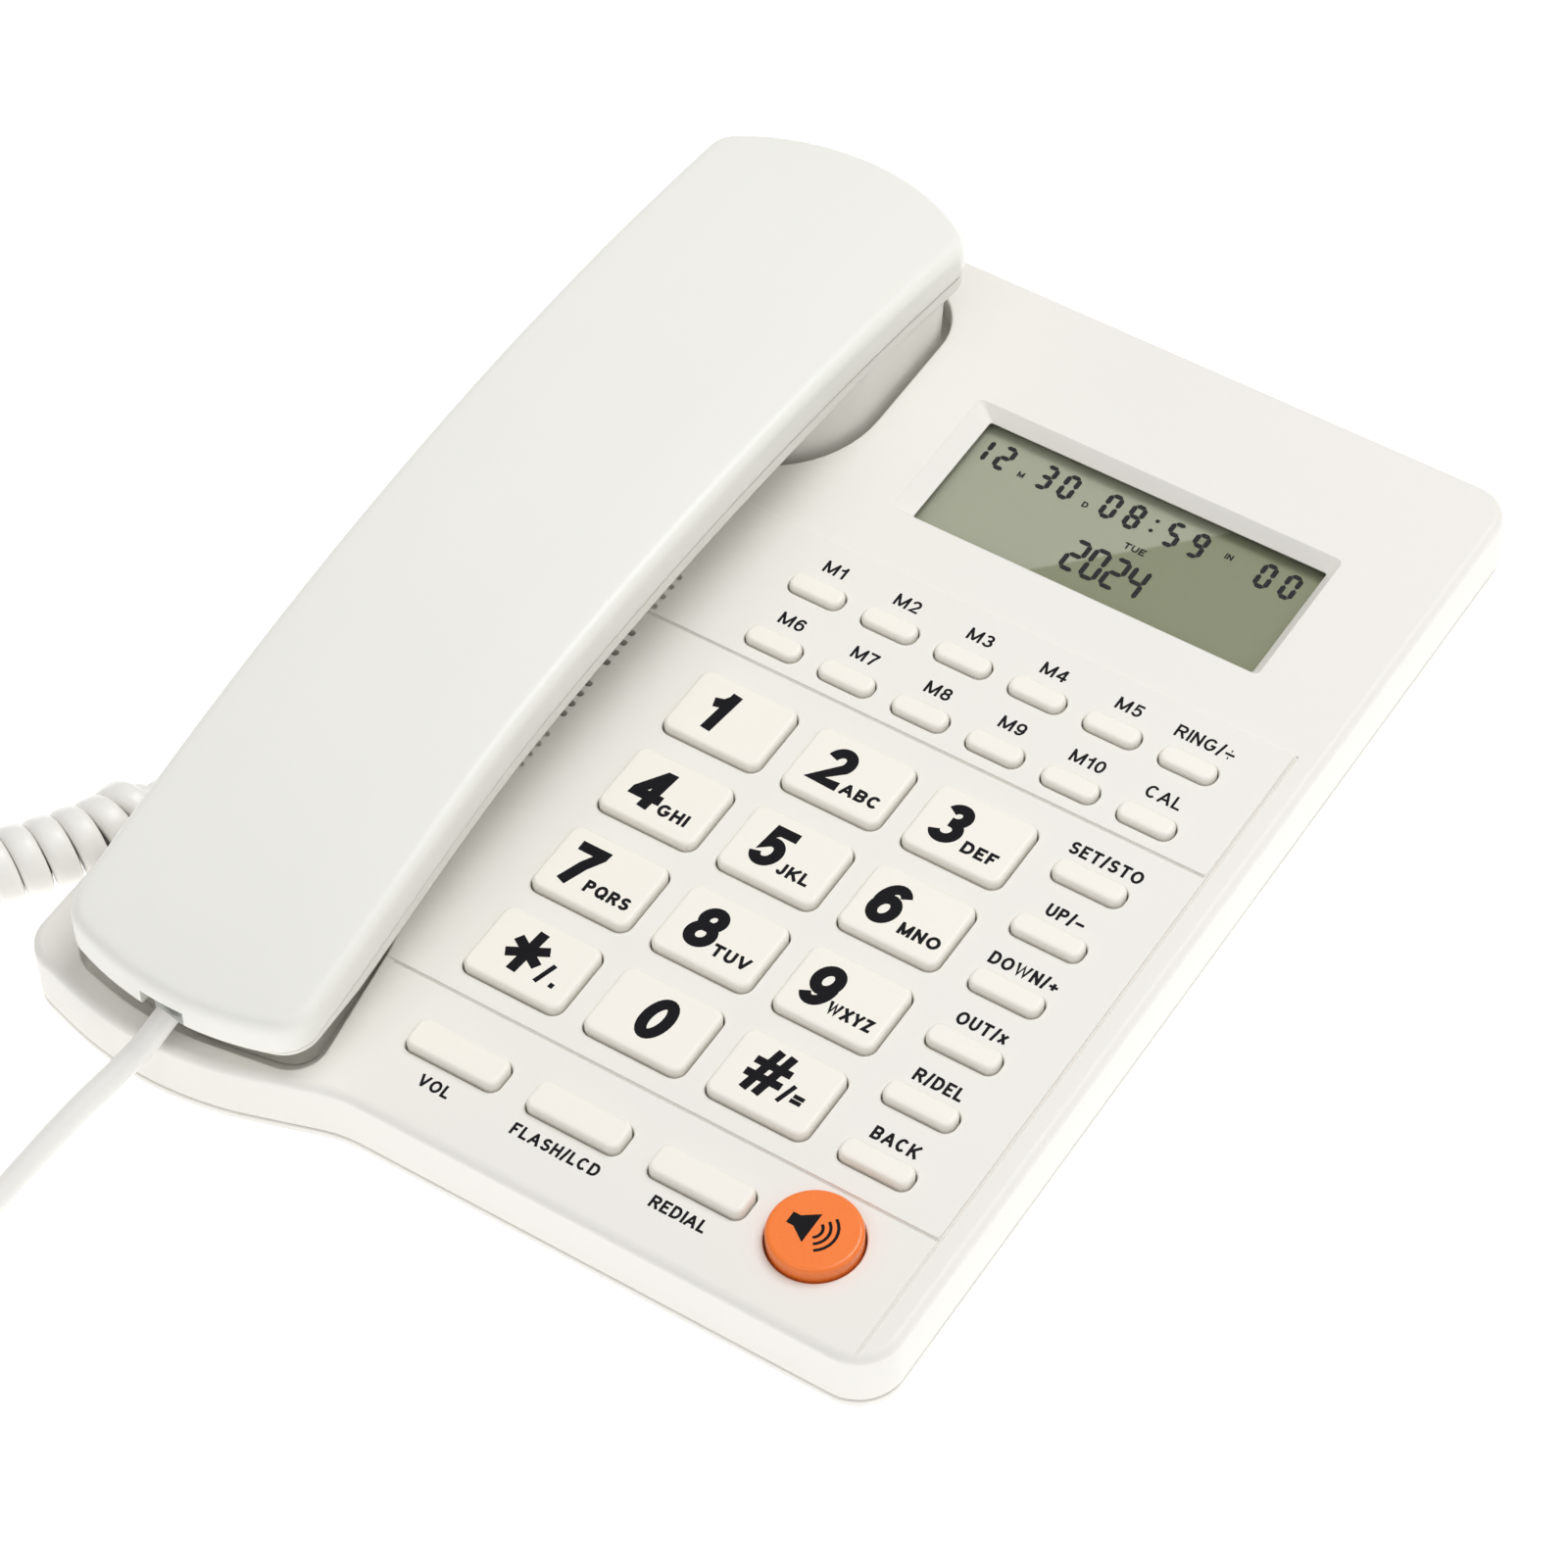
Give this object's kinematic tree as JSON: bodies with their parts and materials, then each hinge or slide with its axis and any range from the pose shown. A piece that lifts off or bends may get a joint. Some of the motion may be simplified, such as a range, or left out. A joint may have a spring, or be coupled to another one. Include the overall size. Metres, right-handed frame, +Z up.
{
  "type": "corded desk telephone",
  "caption": "Corded desk telephone: tilted keypad base with display and loudspeaker, lift-off handset on two cradle wells, coiled cord.",
  "frame": {"origin": "on the table under the middle of the telephone's bounding box, the cord left out", "axes": "+Z up; +Y towards the rear, where the display is; +X towards the user's right; the handset is on the -X side; the key panel rises 4.5 degrees towards the rear"},
  "size_m": [0.2196, 0.3251, 0.0515],
  "materials": {
    "ivory_plastic": "satin moulded, off-white",
    "key_plastic": "satin moulded, cream",
    "dark_plastic": "matt black",
    "rubber": "soft, matt grey",
    "cord_plastic": "soft vinyl, slightly glossy",
    "clear_plastic": "clear, polished",
    "display_grey": "grey-green reflective display",
    "circuit_board": "green lacquered board",
    "orange_plastic": "glossy orange",
    "can_metal": "drawn can",
    "weight_steel": "plain bar",
    "clear_nylon": "clear moulded plug"
  },
  "bodies": {
    "base": {"top_cover": "ivory_plastic", "bottom_shell": "ivory_plastic", "battery_door": "ivory_plastic", "foot_front_left": "rubber", "foot_front_right": "rubber", "foot_rear_left": "rubber", "foot_rear_right": "rubber", "display_window": "clear_plastic", "display_module": "display_grey", "contact_mat": "rubber", "main_board": "circuit_board", "loudspeaker": "dark_plastic", "line_jack": "dark_plastic", "base_cord_jack": "dark_plastic", "base_plug": "clear_nylon", "base_lead": "cord_plastic", "coiled_cord": "cord_plastic"},
    "handset": {"handset_outer_shell": "ivory_plastic", "handset_inner_shell": "ivory_plastic", "receiver_capsule": "dark_plastic", "microphone_capsule": "can_metal", "handset_weight": "weight_steel", "handset_cord_jack": "dark_plastic", "handset_plug": "clear_nylon", "handset_lead": "cord_plastic"},
    "hook": {"hook_plunger": "ivory_plastic"},
    "key_1": {"key_1": "key_plastic"},
    "key_2": {"key_2": "key_plastic"},
    "key_3": {"key_3": "key_plastic"},
    "key_4": {"key_4": "key_plastic"},
    "key_5": {"key_5": "key_plastic"},
    "key_6": {"key_6": "key_plastic"},
    "key_7": {"key_7": "key_plastic"},
    "key_8": {"key_8": "key_plastic"},
    "key_9": {"key_9": "key_plastic"},
    "key_star": {"key_star": "key_plastic"},
    "key_0": {"key_0": "key_plastic"},
    "key_hash": {"key_hash": "key_plastic"},
    "key_m1": {"key_m1": "key_plastic"},
    "key_m2": {"key_m2": "key_plastic"},
    "key_m3": {"key_m3": "key_plastic"},
    "key_m4": {"key_m4": "key_plastic"},
    "key_m5": {"key_m5": "key_plastic"},
    "key_ring": {"key_ring": "key_plastic"},
    "key_m6": {"key_m6": "key_plastic"},
    "key_m7": {"key_m7": "key_plastic"},
    "key_m8": {"key_m8": "key_plastic"},
    "key_m9": {"key_m9": "key_plastic"},
    "key_m10": {"key_m10": "key_plastic"},
    "key_calculate": {"key_calculate": "key_plastic"},
    "key_set": {"key_set": "key_plastic"},
    "key_up": {"key_up": "key_plastic"},
    "key_down": {"key_down": "key_plastic"},
    "key_out": {"key_out": "key_plastic"},
    "key_delete": {"key_delete": "key_plastic"},
    "key_back": {"key_back": "key_plastic"},
    "key_volume": {"key_volume": "key_plastic"},
    "key_flash": {"key_flash": "key_plastic"},
    "key_redial": {"key_redial": "key_plastic"},
    "key_speaker": {"key_speaker": "orange_plastic"}
  },
  "joints": [
    {"name": "handset_lift", "type": "slide", "parent": "base", "child": "handset", "axis": [0, -0.0785, 0.9969], "range_m": [0, 0.06]},
    {"name": "hook_rise", "type": "slide", "parent": "base", "child": "hook", "axis": [0, -0.0785, 0.9969], "range_m": [0, 0.004]},
    {"name": "key_speaker_press", "type": "slide", "parent": "base", "child": "key_speaker", "axis": [0, 0.0785, -0.9969], "range_m": [0, 0.0015], "stiffness_N_per_m": 400},
    {"name": "key_5_press", "type": "slide", "parent": "base", "child": "key_5", "axis": [0, 0.0785, -0.9969], "range_m": [0, 0.0015], "stiffness_N_per_m": 400},
    {"name": "key_m1_press", "type": "slide", "parent": "base", "child": "key_m1", "axis": [0, 0.0785, -0.9969], "range_m": [0, 0.0015], "stiffness_N_per_m": 400},
    {"name": "key_up_press", "type": "slide", "parent": "base", "child": "key_up", "axis": [0, 0.0785, -0.9969], "range_m": [0, 0.0015], "stiffness_N_per_m": 400},
    {"name": "key_flash_press", "type": "slide", "parent": "base", "child": "key_flash", "axis": [0, 0.0785, -0.9969], "range_m": [0, 0.0015], "stiffness_N_per_m": 400},
    {"name": "key_1_press", "type": "slide", "parent": "base", "child": "key_1", "axis": [0, 0.0785, -0.9969], "range_m": [0, 0.0015], "stiffness_N_per_m": 400},
    {"name": "key_2_press", "type": "slide", "parent": "base", "child": "key_2", "axis": [0, 0.0785, -0.9969], "range_m": [0, 0.0015], "stiffness_N_per_m": 400},
    {"name": "key_3_press", "type": "slide", "parent": "base", "child": "key_3", "axis": [0, 0.0785, -0.9969], "range_m": [0, 0.0015], "stiffness_N_per_m": 400},
    {"name": "key_4_press", "type": "slide", "parent": "base", "child": "key_4", "axis": [0, 0.0785, -0.9969], "range_m": [0, 0.0015], "stiffness_N_per_m": 400},
    {"name": "key_6_press", "type": "slide", "parent": "base", "child": "key_6", "axis": [0, 0.0785, -0.9969], "range_m": [0, 0.0015], "stiffness_N_per_m": 400},
    {"name": "key_7_press", "type": "slide", "parent": "base", "child": "key_7", "axis": [0, 0.0785, -0.9969], "range_m": [0, 0.0015], "stiffness_N_per_m": 400},
    {"name": "key_8_press", "type": "slide", "parent": "base", "child": "key_8", "axis": [0, 0.0785, -0.9969], "range_m": [0, 0.0015], "stiffness_N_per_m": 400},
    {"name": "key_9_press", "type": "slide", "parent": "base", "child": "key_9", "axis": [0, 0.0785, -0.9969], "range_m": [0, 0.0015], "stiffness_N_per_m": 400},
    {"name": "key_star_press", "type": "slide", "parent": "base", "child": "key_star", "axis": [0, 0.0785, -0.9969], "range_m": [0, 0.0015], "stiffness_N_per_m": 400},
    {"name": "key_0_press", "type": "slide", "parent": "base", "child": "key_0", "axis": [0, 0.0785, -0.9969], "range_m": [0, 0.0015], "stiffness_N_per_m": 400},
    {"name": "key_hash_press", "type": "slide", "parent": "base", "child": "key_hash", "axis": [0, 0.0785, -0.9969], "range_m": [0, 0.0015], "stiffness_N_per_m": 400},
    {"name": "key_m2_press", "type": "slide", "parent": "base", "child": "key_m2", "axis": [0, 0.0785, -0.9969], "range_m": [0, 0.0015], "stiffness_N_per_m": 400},
    {"name": "key_m3_press", "type": "slide", "parent": "base", "child": "key_m3", "axis": [0, 0.0785, -0.9969], "range_m": [0, 0.0015], "stiffness_N_per_m": 400},
    {"name": "key_m4_press", "type": "slide", "parent": "base", "child": "key_m4", "axis": [0, 0.0785, -0.9969], "range_m": [0, 0.0015], "stiffness_N_per_m": 400},
    {"name": "key_m5_press", "type": "slide", "parent": "base", "child": "key_m5", "axis": [0, 0.0785, -0.9969], "range_m": [0, 0.0015], "stiffness_N_per_m": 400},
    {"name": "key_ring_press", "type": "slide", "parent": "base", "child": "key_ring", "axis": [0, 0.0785, -0.9969], "range_m": [0, 0.0015], "stiffness_N_per_m": 400},
    {"name": "key_m6_press", "type": "slide", "parent": "base", "child": "key_m6", "axis": [0, 0.0785, -0.9969], "range_m": [0, 0.0015], "stiffness_N_per_m": 400},
    {"name": "key_m7_press", "type": "slide", "parent": "base", "child": "key_m7", "axis": [0, 0.0785, -0.9969], "range_m": [0, 0.0015], "stiffness_N_per_m": 400},
    {"name": "key_m8_press", "type": "slide", "parent": "base", "child": "key_m8", "axis": [0, 0.0785, -0.9969], "range_m": [0, 0.0015], "stiffness_N_per_m": 400},
    {"name": "key_m9_press", "type": "slide", "parent": "base", "child": "key_m9", "axis": [0, 0.0785, -0.9969], "range_m": [0, 0.0015], "stiffness_N_per_m": 400},
    {"name": "key_m10_press", "type": "slide", "parent": "base", "child": "key_m10", "axis": [0, 0.0785, -0.9969], "range_m": [0, 0.0015], "stiffness_N_per_m": 400},
    {"name": "key_calculate_press", "type": "slide", "parent": "base", "child": "key_calculate", "axis": [0, 0.0785, -0.9969], "range_m": [0, 0.0015], "stiffness_N_per_m": 400},
    {"name": "key_set_press", "type": "slide", "parent": "base", "child": "key_set", "axis": [0, 0.0785, -0.9969], "range_m": [0, 0.0015], "stiffness_N_per_m": 400},
    {"name": "key_down_press", "type": "slide", "parent": "base", "child": "key_down", "axis": [0, 0.0785, -0.9969], "range_m": [0, 0.0015], "stiffness_N_per_m": 400},
    {"name": "key_out_press", "type": "slide", "parent": "base", "child": "key_out", "axis": [0, 0.0785, -0.9969], "range_m": [0, 0.0015], "stiffness_N_per_m": 400},
    {"name": "key_delete_press", "type": "slide", "parent": "base", "child": "key_delete", "axis": [0, 0.0785, -0.9969], "range_m": [0, 0.0015], "stiffness_N_per_m": 400},
    {"name": "key_back_press", "type": "slide", "parent": "base", "child": "key_back", "axis": [0, 0.0785, -0.9969], "range_m": [0, 0.0015], "stiffness_N_per_m": 400},
    {"name": "key_volume_press", "type": "slide", "parent": "base", "child": "key_volume", "axis": [0, 0.0785, -0.9969], "range_m": [0, 0.0015], "stiffness_N_per_m": 400},
    {"name": "key_redial_press", "type": "slide", "parent": "base", "child": "key_redial", "axis": [0, 0.0785, -0.9969], "range_m": [0, 0.0015], "stiffness_N_per_m": 400}
  ],
  "couplings": [
    {"joint": "hook_rise", "follows": "handset_lift", "ratio": 0.066667}
  ]
}
